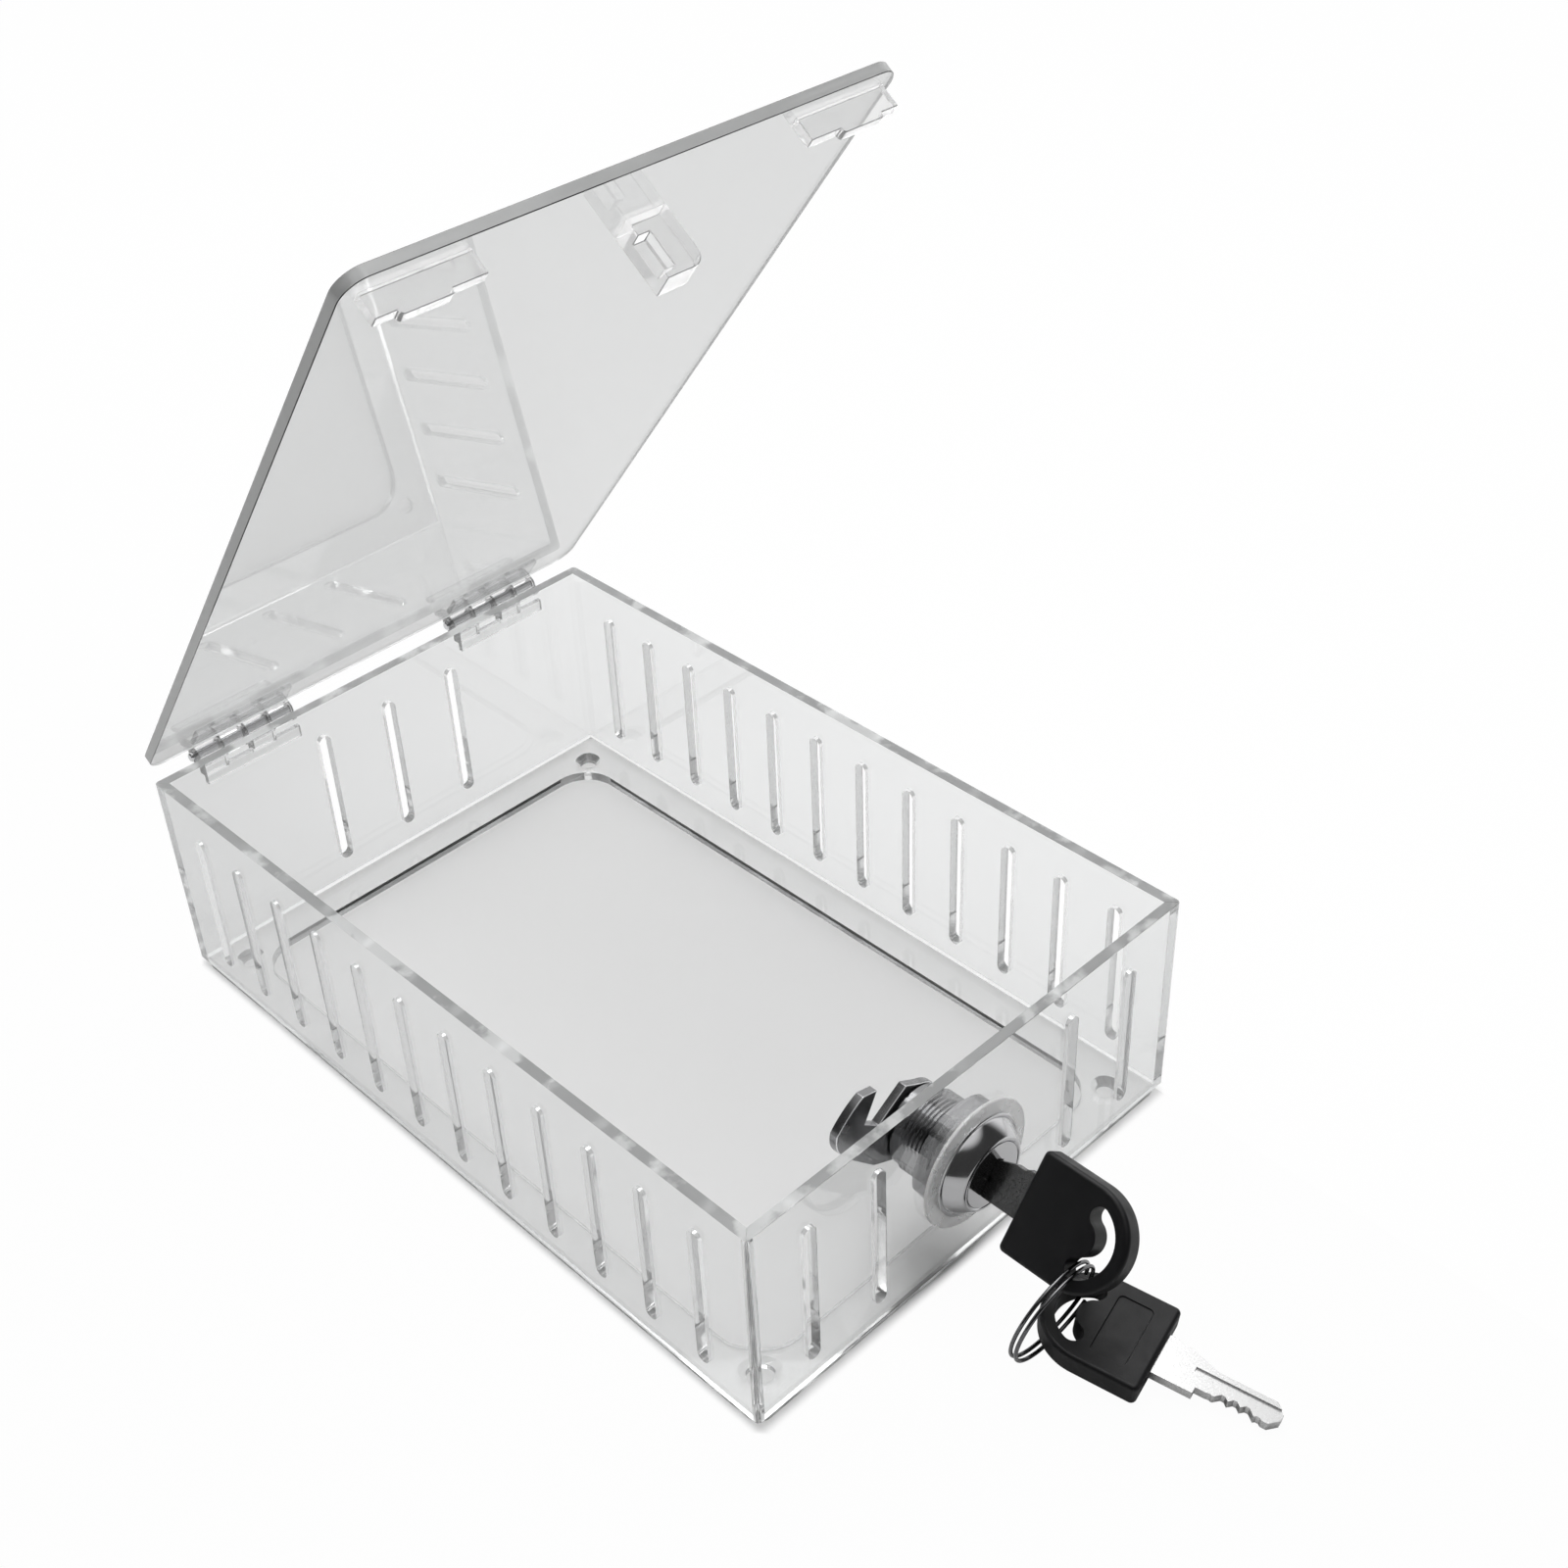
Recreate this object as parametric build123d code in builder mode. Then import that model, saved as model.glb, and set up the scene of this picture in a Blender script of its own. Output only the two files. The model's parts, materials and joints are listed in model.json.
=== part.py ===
from build123d import *
from math import cos, radians, sin, sqrt
import os

# A clear acrylic guard box that locks over a wall thermostat. Millimetres, +Z up.
# X runs across the box, the lock is in the -Y wall and the hinges are on the +Y wall.
# The origin is the centre of the four wall screws, on the underside of the base.

os.makedirs("parts", exist_ok=True)

# Acrylic box
box_width = 120.0
box_length = 186.4
wall_height = 50.3
sheet = 2.4
upright_edge_radius = 1.0
base_setback = 0.8
base_corner_radius = 3.0
window_margin = 10.5
window_corner_radius = 9.0
screw_margin = 9.5
screw_hole_radius = 2.0
screw_head_radius = 3.2
screw_head_angle = 90.0

# Air slots in the four walls
slot_width = 3.0
slot_length = 35.8
slot_middle_height = 25.94
side_slot_count = 12
side_slot_pitch = 14.34
back_slot_count = 3
back_slot_pitch = 18.4
front_slot_pitch = 17.85
front_slot_first = 27.25
front_slot_count = 2

# Lid, standing open at its rest angle
lid_front_inset = 0.2
lid_corner_radius = 5.0
lid_gap = 0.4
lid_rest_angle = 52.54

# Alignment tabs under the lid's front edge
tab_front_gap = 1.2
tab_width = 21.5
tab_side_gap = 0.9
tab_drop = 5.0
tongue_width = 10.2
tongue_drop = 6.0
tongue_shift = 1.45
tab_corner_radius = 0.8

# Keeper block under the lid, which the hook of the cam catches
keeper_left = 1.9
keeper_width = 9.0
keeper_thickness = 5.8
keeper_drop = 12.5
keeper_corner_radius = 3.0
keeper_cam_gap = 0.4
notch_width = 2.7
notch_top = 3.6
keeper_lip = 1.7

# Hinges
hinge_side_margin = 11.9
hinge_length = 25.0
hinge_wall_gap = 2.8
hinge_below_rim = 0.5
barrel_radius = 2.5
pin_radius = 1.1
pin_clearance = 0.05
pin_overhang = 1.1
knuckle_count = 4
knuckle_gap = 0.3
leaf_thickness = 1.2
wall_leaf_drop = 6.6
wall_leaf_notch = 3.3
lid_leaf_reach = 6.0
leaf_bend_radius = 1.6

# Lock body
lock_x = -1.5
lock_z = 26.2
body_radius = 9.0
body_flat = 8.2
wall_hole_clearance = 0.2
shim_radius = 14.2
shim_thickness = 0.8
bezel_radius = 11.3
bezel_edge = 0.5
bezel_face_radius = 7.9
bezel_front = 4.9
nut_across_flats = 22.0
nut_thickness = 4.5
nut_chamfer_radius = 11.9
thread_clearance = 0.05

# Plug, its wafers and springs
key_tilt = 39.4
plug_radius = 7.2
plug_clearance = 0.05
plug_end_gap = 0.3
screw_web = 0.25
plug_square = 6.4
wafer_count = 5
wafer_first = -2.2
wafer_pitch = 2.35
wafer_thickness = 0.8
wafer_width = 5.0
wafer_play = 0.1
wafer_rim = 1.1
ear_width = 1.5
ear_height = 1.2
spring_radius = 0.5
spring_length = 4.0

# Cam and its fastening
cam_thickness = 2.0
cam_square_clearance = 0.1
hub_radius = 8.3
arm_root_offset = 2.4
arm_heel_reach = 8.0
arm_heel_drop = 9.6
arm_corner_reach = 17.7
arm_corner_drop = 8.5
arm_end_reach = 22.6
arm_end_drop = 4.7
arm_end_bulge = 0.5
arm_corner_bulge = 0.85
hook_reach = 20.4
hook_rise = 4.0
hook_tip_reach = 16.9
hook_tip_rise = 5.6
mouth_reach = 15.4
mouth_root_reach = 10.6
mouth_drop = 1.75
neck_reach = 7.7
neck_rise = 7.0
washer_radius = 5.5
washer_thickness = 0.8
cam_screw_radius = 1.95
cam_screw_head_radius = 3.7
cam_screw_head = 2.4
cam_screw_depth = 4.6
cross_slot_width = 0.9
cross_slot_length = 4.2
cross_slot_depth = 1.2

# Keys
key_standoff = 13.4
head_thickness = 5.0
head_half_width = 10.7
head_straight = 13.0
head_corner_radius = 1.2
head_edge_radius = 0.9
ring_slot_radius = 5.9
ring_slot_width = 4.0
ring_slot_sweep = 130.0
recess_width = 14.5
recess_length = 7.1
recess_centre = 7.8
recess_depth = 0.3
recess_corner_radius = 1.0
blade_thickness = 2.0
blade_length = 24.4
tang_length = 8.0
tang_half_width = 3.5
shoulder_half_width = 4.5
collar_half_width = 5.1
collar_length = 1.8
shoulder_length = 8.4
spine_shoulder_length = 4.7
spine_slope_end = 11.0
spine_height = 2.4
cut_edge_height = 3.0
tip_length = 1.8
cut_depths = (0.1, 1.15, 1.3, 1.3, 0.4)
cut_root = 0.7
blade_groove_start = 7.0
blade_groove_width = 1.1
blade_groove_depth = 0.5
blade_groove_offset = 0.7
keyway_clearance = 0.15

# Split ring and the spare key that hangs from it
ring_radius = 11.0
ring_wire_radius = 0.4
ring_turn_pitch = 1.25
ring_turns = 1.92
ring_lean = 11.8
ring_hang_across = -5.3
ring_hang_behind = 15.6
ring_shift = -4.7
spare_shift_x = 10.8
spare_shift_y = -16.8
spare_drop = 8.42
spare_turn = 14.4
spare_tilt = 5.8

# Derived places
wall_top = sheet + wall_height
half_width = box_width / 2
front_face = -box_length / 2
back_face = box_length / 2
lid_underside = wall_top + lid_gap
lid_length = box_length - lid_front_inset
hinge_offset = half_width - hinge_side_margin - hinge_length / 2
hinge_y = back_face + hinge_wall_gap
hinge_z = wall_top - hinge_below_rim
barrel_bore = pin_radius + pin_clearance
knuckle_length = (hinge_length - (knuckle_count - 1) * knuckle_gap) / knuckle_count
plug_face = front_face - bezel_front
plug_bore = plug_radius + plug_clearance
keyway_end = front_face + blade_length - key_standoff + keyway_clearance
cam_front = keyway_end + screw_web + cam_screw_depth
body_back = cam_front - plug_end_gap
cam_back = cam_front + cam_thickness
key_front = front_face - key_standoff
spine_edge = spine_height + keyway_clearance
cut_edge = cut_edge_height + keyway_clearance
keyway_depth = keyway_end - plug_face
tilt = radians(key_tilt)
key_plane = Plane(origin=(lock_x, key_front, lock_z), x_dir=(0, 1, 0), z_dir=(cos(tilt), 0, -sin(tilt)))
spine_slope = (shoulder_half_width - spine_height) / (spine_slope_end - spine_shoulder_length)
lock_axis = Axis((lock_x, 0, lock_z), (0, 1, 0))


def across(y):
    """Upright plane at y, seen from the front: sketch x is X and sketch y is Z."""
    return Plane(origin=(0, y, 0), x_dir=(1, 0, 0), z_dir=(0, -1, 0))


def on_lid(plane):
    """A plane of the closed lid, swung open about the hinge axis to the rest angle."""
    swing = Pos(0, hinge_y, hinge_z) * Rot(-lid_rest_angle, 0, 0) * Pos(0, -hinge_y, -hinge_z)
    return Plane(swing * plane.location)


def on_plug(y):
    """Upright plane at y on the lock axis, with sketch y along the key's width."""
    return Plane(origin=(lock_x, y, lock_z), x_dir=(cos(tilt), 0, -sin(tilt)), z_dir=(0, -1, 0))


def save(piece, name):
    piece.part.label = name
    export_step(piece.part, f"parts/{name}.step")


# Base plate with the thermostat window and the wall screw holes
with BuildPart() as base_plate:
    with BuildSketch():
        RectangleRounded(box_width - 2 * base_setback, box_length - 2 * base_setback, base_corner_radius)
        RectangleRounded(
            box_width - 2 * window_margin,
            box_length - 2 * window_margin,
            window_corner_radius,
            mode=Mode.SUBTRACT,
        )
    extrude(amount=sheet)
    with Locations(Plane.XY.offset(sheet)):
        with GridLocations(box_width - 2 * screw_margin, box_length - 2 * screw_margin, 2, 2):
            CounterSinkHole(screw_hole_radius, screw_head_radius, counter_sink_angle=screw_head_angle)
save(base_plate, "base_plate")


def wall_outline(outer, inner):
    """One mitred wall seen from above; outer and inner are its two long lines' ends."""
    RectangleRounded(box_width, box_length, upright_edge_radius)
    Polygon(outer[0], outer[1], inner[1], inner[0], align=None, mode=Mode.INTERSECT)


inner_x = half_width - sheet
inner_y = back_face - sheet

with BuildPart() as front_wall:
    with BuildSketch(Plane.XY.offset(sheet)):
        wall_outline(
            [(-half_width, front_face), (half_width, front_face)],
            [(-inner_x, -inner_y), (inner_x, -inner_y)],
        )
    extrude(amount=wall_height)
    with BuildSketch(across(front_face)):
        slot_rows = [front_slot_first + i * front_slot_pitch for i in range(front_slot_count)]
        with Locations([(side * x, slot_middle_height) for x in slot_rows for side in (-1, 1)]):
            SlotOverall(slot_length, slot_width, rotation=90)
    extrude(amount=-sheet, mode=Mode.SUBTRACT)
    with BuildSketch(across(front_face)):
        with Locations((lock_x, lock_z)):
            Circle(body_radius + wall_hole_clearance)
            Rectangle(
                2 * (body_flat + wall_hole_clearance),
                2 * (body_radius + wall_hole_clearance),
                mode=Mode.INTERSECT,
            )
    extrude(amount=-sheet, mode=Mode.SUBTRACT)
save(front_wall, "front_wall")

with BuildPart() as back_wall:
    with BuildSketch(Plane.XY.offset(sheet)):
        wall_outline(
            [(-half_width, back_face), (half_width, back_face)],
            [(-inner_x, inner_y), (inner_x, inner_y)],
        )
    extrude(amount=wall_height)
    with BuildSketch(across(inner_y)):
        with Locations((0, slot_middle_height)):
            with GridLocations(back_slot_pitch, 1, back_slot_count, 1):
                SlotOverall(slot_length, slot_width, rotation=90)
    extrude(amount=-sheet, mode=Mode.SUBTRACT)
save(back_wall, "back_wall")


def side_wall(side, name):
    """Long wall on the left (-1) or right (1), with its row of air slots."""
    with BuildPart() as wall:
        with BuildSketch(Plane.XY.offset(sheet)):
            wall_outline(
                [(side * half_width, front_face), (side * half_width, back_face)],
                [(side * inner_x, -inner_y), (side * inner_x, inner_y)],
            )
        extrude(amount=wall_height)
        with BuildSketch(Plane.YZ.offset(side * inner_x)):
            with Locations((0, slot_middle_height)):
                with GridLocations(side_slot_pitch, 1, side_slot_count, 1):
                    SlotOverall(slot_length, slot_width, rotation=90)
        extrude(amount=side * sheet, mode=Mode.SUBTRACT)
    save(wall, name)


side_wall(-1, "left_wall")
side_wall(1, "right_wall")

# Lid sheet
with BuildPart() as lid_panel:
    with BuildSketch(on_lid(Plane.XY.offset(lid_underside))):
        with Locations((0, back_face - lid_length / 2)):
            RectangleRounded(box_width, lid_length, lid_corner_radius)
    extrude(amount=sheet)
save(lid_panel, "lid_panel")

# Keeper block with the notch and lip for the hook
keeper_back_gap = keeper_thickness - cam_thickness - 2 * keeper_cam_gap
keeper_front = cam_front - keeper_cam_gap
with BuildPart() as lid_keeper:
    with BuildSketch(on_lid(across(keeper_front))):
        with Locations((keeper_left + keeper_width / 2, lid_underside - keeper_drop / 2)):
            Rectangle(keeper_width, keeper_drop)
        fillet(vertices().group_by(Axis.Y)[0].sort_by(Axis.X)[-1], keeper_corner_radius)
    extrude(amount=-keeper_thickness)
    with BuildSketch(on_lid(across(keeper_front))):
        notch_height = keeper_drop - notch_top - keeper_lip
        with Locations((keeper_left + notch_width / 2, lid_underside - notch_top - notch_height / 2)):
            Rectangle(notch_width, notch_height)
    extrude(amount=-(keeper_thickness - keeper_back_gap), mode=Mode.SUBTRACT)
save(lid_keeper, "lid_keeper")


def lid_tab(side, name):
    """Stepped tab that drops inside the front wall when the lid closes."""
    tab_middle = side * (inner_x - tab_side_gap - tab_width / 2)
    with BuildPart() as tab:
        with BuildSketch(on_lid(across(front_face + sheet + tab_front_gap))):
            with Locations((tab_middle, lid_underside - tab_drop / 2)):
                Rectangle(tab_width, tab_drop)
            with Locations((tab_middle + side * tongue_shift, lid_underside - tongue_drop / 2)):
                Rectangle(tongue_width, tongue_drop)
            fillet(vertices().group_by(Axis.Y)[0], tab_corner_radius)
        extrude(amount=-sheet)
    save(tab, name)


lid_tab(-1, "lid_tab_left")
lid_tab(1, "lid_tab_right")


def knuckle_start(centre_x, index):
    return centre_x - hinge_length / 2 + index * (knuckle_length + knuckle_gap)


def hinge(side, name):
    """Wall leaf, lid leaf and pin of one hinge; the knuckles alternate from the left."""
    centre_x = side * hinge_offset
    left_end = centre_x - hinge_length / 2
    leaf_top = hinge_z - wall_leaf_notch + knuckle_gap

    with BuildPart() as wall_leaf:
        with BuildSketch(Plane.YZ.offset(left_end)):
            with Locations((back_face, wall_top - wall_leaf_drop)):
                Rectangle(leaf_thickness, leaf_top - wall_top + wall_leaf_drop, align=(Align.MIN, Align.MIN))
        extrude(amount=hinge_length)
        for index in range(0, knuckle_count, 2):
            with BuildSketch(Plane.YZ.offset(knuckle_start(centre_x, index))):
                with Locations((hinge_y, hinge_z)):
                    Circle(barrel_radius)
                with Locations((back_face, leaf_top - leaf_thickness)):
                    Rectangle(hinge_wall_gap, hinge_z - leaf_top + leaf_thickness, align=(Align.MIN, Align.MIN))
            extrude(amount=knuckle_length)
        with BuildSketch(Plane.YZ.offset(left_end)):
            with Locations((hinge_y, hinge_z)):
                Circle(barrel_bore)
        extrude(amount=hinge_length, mode=Mode.SUBTRACT)
    save(wall_leaf, f"hinge_{name}_wall_leaf")

    lid_top = lid_underside + sheet
    with BuildPart() as lid_leaf:
        with BuildSketch(on_lid(Plane.YZ.offset(left_end))):
            with Locations((back_face, lid_top)):
                Rectangle(lid_leaf_reach, leaf_thickness, align=(Align.MAX, Align.MIN))
        extrude(amount=hinge_length)
        for index in range(1, knuckle_count, 2):
            with BuildSketch(on_lid(Plane.YZ.offset(knuckle_start(centre_x, index)))):
                with Locations((hinge_y, hinge_z)):
                    Circle(barrel_radius)
                arm_foot = (hinge_y - barrel_radius, hinge_z)
                with BuildLine():
                    Polyline(
                        (back_face, lid_top),
                        (back_face, lid_top + leaf_thickness),
                        (hinge_y, lid_top + leaf_thickness),
                        (hinge_y, hinge_z),
                        arm_foot,
                        (arm_foot[0], lid_top),
                        close=True,
                    )
                make_face()
                outer_bend = vertices().group_by(Axis.Y)[-1].sort_by(Axis.X)[-1]
                fillet(outer_bend, leaf_bend_radius)
            extrude(amount=knuckle_length)
        with BuildSketch(on_lid(Plane.YZ.offset(left_end))):
            with Locations((hinge_y, hinge_z)):
                Circle(barrel_bore)
        extrude(amount=hinge_length, mode=Mode.SUBTRACT)
    save(lid_leaf, f"hinge_{name}_lid_leaf")

    with BuildPart() as pin:
        with BuildSketch(Plane.YZ.offset(left_end - pin_overhang)):
            with Locations((hinge_y, hinge_z)):
                Circle(pin_radius)
        extrude(amount=hinge_length + pin_overhang)
        chamfer(edges().filter_by(GeomType.CIRCLE), pin_radius / 4)
    save(pin, f"hinge_{name}_pin")


hinge(-1, "left")
hinge(1, "right")

# Lock housing: tapered bezel and threaded body with two flats
shim_front = front_face - shim_thickness
with BuildPart() as lock_housing:
    with BuildSketch(Plane.YZ.offset(lock_x)):
        with BuildLine():
            Polyline(
                (body_back, lock_z + plug_bore),
                (body_back, lock_z + body_radius),
                (shim_front, lock_z + body_radius),
                (shim_front, lock_z + bezel_radius),
                (shim_front - bezel_edge, lock_z + bezel_radius),
                (plug_face, lock_z + bezel_face_radius),
                (plug_face, lock_z + plug_bore),
                close=True,
            )
        make_face()
    revolve(axis=lock_axis)
    with BuildSketch(across(shim_front)):
        with Locations((lock_x, lock_z)):
            Circle(2 * body_radius)
            Rectangle(2 * body_flat, 4 * body_radius, mode=Mode.SUBTRACT)
    extrude(amount=shim_front - body_back, mode=Mode.SUBTRACT)
save(lock_housing, "lock_housing")

with BuildPart() as lock_shim_washer:
    with BuildSketch(across(front_face)):
        with Locations((lock_x, lock_z)):
            Circle(shim_radius)
            Circle(body_radius + wall_hole_clearance, mode=Mode.SUBTRACT)
    extrude(amount=shim_thickness)
save(lock_shim_washer, "lock_shim_washer")

with BuildPart() as lock_nut:
    with BuildSketch(across(front_face + sheet)):
        with Locations((lock_x, lock_z)):
            RegularPolygon(nut_across_flats / 2, 6, major_radius=False)
            Circle(nut_chamfer_radius, mode=Mode.INTERSECT)
            Circle(body_radius + thread_clearance, mode=Mode.SUBTRACT)
    extrude(amount=-nut_thickness)
save(lock_nut, "lock_nut")


def wafer_front(index):
    return front_face + wafer_first + index * wafer_pitch - wafer_thickness / 2


# Window of each wafer, which the blade passes through
window_top = spine_edge + wafer_play
window_bottom = -cut_edge - wafer_play
wafer_height = 2 * sqrt(plug_radius**2 - (wafer_width / 2) ** 2) - wafer_play
ear_bottom = window_top - ear_height

with BuildPart() as lock_plug:
    with BuildSketch(on_plug(cam_front)):
        Circle(plug_radius)
    extrude(amount=cam_front - plug_face)
    with BuildSketch(on_plug(cam_front)):
        Rectangle(plug_square, plug_square)
    extrude(amount=-(cam_thickness - wafer_play))
    with BuildSketch(on_plug(plug_face)):
        with Locations((0, (spine_edge - cut_edge) / 2)):
            Rectangle(blade_thickness + 2 * keyway_clearance, spine_edge + cut_edge)
    extrude(amount=-keyway_depth, mode=Mode.SUBTRACT)
    with BuildSketch(key_plane.offset(-blade_thickness / 2 - keyway_clearance)):
        mouth_start = key_standoff - bezel_front - keyway_clearance
        mouth_height = spine_edge + (spine_slope_end - mouth_start) * spine_slope + keyway_clearance
        with BuildLine():
            Polyline(
                (mouth_start, 0),
                (mouth_start, mouth_height),
                (spine_slope_end + keyway_clearance, spine_edge),
                (spine_slope_end + keyway_clearance, 0),
                close=True,
            )
        make_face()
    extrude(amount=blade_thickness + 2 * keyway_clearance, mode=Mode.SUBTRACT)
    for index in range(wafer_count):
        with BuildSketch(on_plug(wafer_front(index) - wafer_play)):
            Rectangle(wafer_width + 2 * wafer_play, 2 * plug_radius)
            with Locations((wafer_width / 2, ear_bottom - spring_length)):
                Rectangle(
                    ear_width + wafer_play,
                    spring_length + ear_height + 2 * wafer_play,
                    align=(Align.MIN, Align.MIN),
                )
        extrude(amount=-(wafer_thickness + 2 * wafer_play), mode=Mode.SUBTRACT)
    with BuildSketch(on_plug(cam_back)):
        Circle(cam_screw_radius + thread_clearance)
    extrude(amount=cam_thickness + cam_screw_depth, mode=Mode.SUBTRACT)
save(lock_plug, "lock_plug")

with BuildPart() as lock_wafers:
    for index in range(wafer_count):
        with BuildSketch(on_plug(wafer_front(index))):
            Rectangle(wafer_width, wafer_height)
            with Locations((wafer_width / 2, ear_bottom)):
                Rectangle(ear_width, ear_height, align=(Align.MIN, Align.MIN))
            with Locations((0, (window_top + window_bottom) / 2)):
                Rectangle(wafer_width - 2 * wafer_rim, window_top - window_bottom, mode=Mode.SUBTRACT)
        extrude(amount=-wafer_thickness)
save(lock_wafers, "lock_wafers")

with BuildPart() as wafer_springs:
    for index in range(wafer_count):
        spring_seat = on_plug(wafer_front(index) + wafer_thickness / 2)
        spring_foot = spring_seat.from_local_coords((wafer_width / 2 + ear_width / 2, ear_bottom, 0))
        with BuildSketch(Plane(origin=spring_foot, z_dir=-spring_seat.y_dir)):
            Circle(spring_radius)
            Circle(spring_radius / 2, mode=Mode.SUBTRACT)
        extrude(amount=spring_length)
save(wafer_springs, "wafer_springs")

# Hooked cam: the arm lies along -x of the plug's plane and the mouth opens towards +y
with BuildPart() as lock_cam:
    with BuildSketch(on_plug(cam_back)):
        with BuildLine():
            arm_corner = (-arm_corner_reach, -arm_corner_drop)
            arm_end = (-arm_end_reach, -arm_end_drop)
            hook_shoulder = (-hook_reach, hook_rise)
            Polyline(
                hook_shoulder,
                (-hook_tip_reach, hook_tip_rise),
                (-mouth_reach, -mouth_drop),
                (-mouth_root_reach, -mouth_drop),
                (-neck_reach, neck_rise),
                (0, hub_radius),
                (-arm_root_offset, -hub_radius),
                (-arm_heel_reach, -arm_heel_drop),
                arm_corner,
            )
            SagittaArc(arm_corner, arm_end, arm_corner_bulge)
            SagittaArc(arm_end, hook_shoulder, arm_end_bulge)
        make_face()
        Circle(hub_radius)
        cam_hole = plug_square + 2 * cam_square_clearance
        Rectangle(cam_hole, cam_hole, mode=Mode.SUBTRACT)
    extrude(amount=cam_thickness)
save(lock_cam, "lock_cam")

with BuildPart() as cam_washer:
    with BuildSketch(on_plug(cam_back)):
        Circle(washer_radius)
        Circle(cam_screw_radius + thread_clearance, mode=Mode.SUBTRACT)
    extrude(amount=-washer_thickness)
save(cam_washer, "cam_washer")

screw_seat = cam_back + washer_thickness
with BuildPart() as cam_screw:
    with BuildSketch(on_plug(screw_seat)):
        Circle(cam_screw_radius)
    extrude(amount=washer_thickness + cam_thickness + cam_screw_depth - wafer_play)
    with BuildSketch(on_plug(screw_seat)):
        Circle(cam_screw_head_radius)
    extrude(amount=-cam_screw_head)
    fillet(edges().group_by(Axis.Y)[-1], cam_screw_head / 2)
    with BuildSketch(on_plug(screw_seat + cam_screw_head)):
        Rectangle(cross_slot_width, cross_slot_length)
        Rectangle(cross_slot_length, cross_slot_width)
    extrude(amount=cross_slot_depth, mode=Mode.SUBTRACT)
save(cam_screw, "cam_screw")


# Curved slot of the key head, which the split ring runs in
slot_arc = CenterArc((-head_straight, 0), ring_slot_radius, 180 - ring_slot_sweep / 2, ring_slot_sweep)
ring_slot = SlotArc(slot_arc, ring_slot_width)


def key(plane, blade_name, head_name):
    """One key: sketch x runs from the head's front edge to the tip, sketch y across."""
    with BuildPart() as blade:
        with BuildSketch(plane.offset(-blade_thickness / 2)):
            with BuildLine():
                Polyline(
                    (-tang_length, tang_half_width),
                    (0, tang_half_width),
                    (0, collar_half_width),
                    (collar_length, collar_half_width),
                    (collar_length + collar_half_width - shoulder_half_width, shoulder_half_width),
                    (spine_shoulder_length, shoulder_half_width),
                    (spine_slope_end, spine_height),
                    (blade_length - tip_length, spine_height),
                    (blade_length, spine_height - tip_length),
                    (blade_length, tip_length - cut_edge_height),
                    (blade_length - tip_length, -cut_edge_height),
                    (shoulder_length, -cut_edge_height),
                    (shoulder_length, -shoulder_half_width),
                    (0, -shoulder_half_width),
                    (0, -tang_half_width),
                    (-tang_length, -tang_half_width),
                    close=True,
                )
            make_face()
            for index, depth in enumerate(cut_depths):
                cut_middle = key_standoff + wafer_first + index * wafer_pitch
                with BuildLine():
                    Polyline(
                        (cut_middle - cut_root / 2, -cut_edge_height + depth),
                        (cut_middle + cut_root / 2, -cut_edge_height + depth),
                        (cut_middle + cut_root / 2 + depth, -cut_edge_height),
                        (cut_middle - cut_root / 2 - depth, -cut_edge_height),
                        close=True,
                    )
                make_face(mode=Mode.SUBTRACT)
        extrude(amount=blade_thickness)
        for face_side in (-1, 1):
            with BuildSketch(plane.offset(face_side * blade_thickness / 2)):
                with Locations((blade_groove_start, face_side * blade_groove_offset)):
                    Rectangle(blade_length, blade_groove_width, align=(Align.MIN, Align.CENTER))
            extrude(amount=-face_side * blade_groove_depth, mode=Mode.SUBTRACT)
    save(blade, blade_name)

    with BuildPart() as head:
        with BuildSketch(plane.offset(-head_thickness / 2)):
            with BuildLine():
                Polyline(
                    (-head_straight, head_half_width),
                    (0, head_half_width),
                    (0, -head_half_width),
                    (-head_straight, -head_half_width),
                )
                CenterArc((-head_straight, 0), head_half_width, 90, 180)
            make_face()
            fillet(vertices().group_by(Axis.X)[-1], head_corner_radius)
        extrude(amount=head_thickness)
        rims = faces().sort_by(Axis(plane.origin, plane.z_dir))
        fillet(rims[0].edges() + rims[-1].edges(), head_edge_radius)
        with BuildSketch(plane.offset(-head_thickness / 2)):
            add(ring_slot)
        extrude(amount=head_thickness, mode=Mode.SUBTRACT)
        with BuildSketch(plane.offset(head_thickness / 2)):
            with Locations((-recess_centre, 0)):
                RectangleRounded(recess_length, recess_width, recess_corner_radius)
        extrude(amount=-recess_depth, mode=Mode.SUBTRACT)
        with BuildSketch(plane.offset(-blade_thickness / 2)):
            Rectangle(tang_length, 2 * tang_half_width, align=(Align.MAX, Align.CENTER))
        extrude(amount=blade_thickness, mode=Mode.SUBTRACT)
    save(head, head_name)


key(key_plane, "key_blade", "key_head")

# Split ring: the wire passes through the lower lobe of the turned key's slot
lean = radians(ring_lean)
hang_point = key_plane.from_local_coords((-ring_hang_behind, ring_hang_across, 0))
ring_drop = sqrt(ring_radius**2 - ring_shift**2)
ring_centre = hang_point + Vector(ring_shift, ring_drop * sin(lean), -ring_drop * cos(lean))
ring_plane = Plane(origin=ring_centre, x_dir=(1, 0, 0), z_dir=(0, -cos(lean), -sin(lean)))
ring_height = ring_turn_pitch * ring_turns
coil = Helix(ring_turn_pitch, ring_height, ring_radius)
coil = ring_plane.offset(-ring_height / 2).location * coil
with BuildPart() as key_ring:
    with BuildSketch(Plane(origin=coil @ 0, z_dir=coil % 0)):
        Circle(ring_wire_radius)
    sweep(path=coil, is_frenet=True)
save(key_ring, "key_ring")
print("gap between the ring's turns", round(ring_turn_pitch - 2 * ring_wire_radius, 3))

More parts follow.
